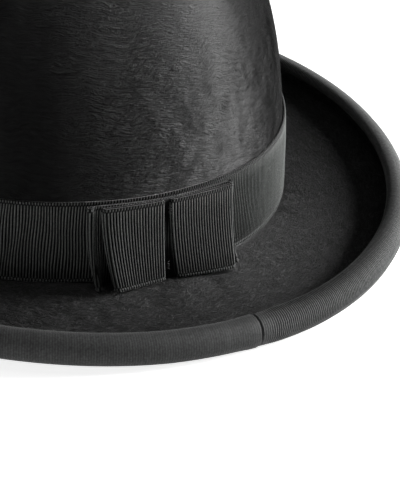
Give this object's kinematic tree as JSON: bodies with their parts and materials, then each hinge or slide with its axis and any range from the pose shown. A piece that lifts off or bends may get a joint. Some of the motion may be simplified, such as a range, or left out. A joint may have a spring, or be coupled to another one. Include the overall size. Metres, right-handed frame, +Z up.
{
  "type": "bowler hat",
  "caption": "Round-crowned felt bowler hat with a rolled, ribbon-bound brim, a ribbed hatband with a flat double-loop bow at the back, a leather sweatband and a satin lining.",
  "frame": {"origin": "centre of the bounding box on the plane the hat stands on, under the middle of the head opening", "axes": "+Z up through the crown, -Y the wearer's front, +Y the back where the bow is, +X the wearer's left; the long axis of the oval runs along Y"},
  "size_m": [0.2568, 0.3068, 0.1311],
  "materials": {
    "felt": "brushed black fur felt with a short nap",
    "band_ribbon": "charcoal grosgrain with vertical ribs about 1 mm apart",
    "binding_ribbon": "dark grey grosgrain, semi-matte",
    "thread": "matte cotton thread",
    "leather": "smooth dark brown leather, satin",
    "reed": "matte",
    "satin": "black satin with a soft sheen"
  },
  "bodies": {
    "root": {"felt_body": "felt", "hatband": "band_ribbon", "bow_lower_loop": "band_ribbon", "bow_upper_loops": "band_ribbon", "bow_tack_upper": "thread", "bow_tack_lower": "thread", "brim_binding": "binding_ribbon", "sweatband": "leather", "sweatband_reed": "reed", "sweatband_stitching": "thread", "sweatband_bow": "binding_ribbon", "lining_side": "satin", "lining_tip": "satin"}
  },
  "joints": []
}
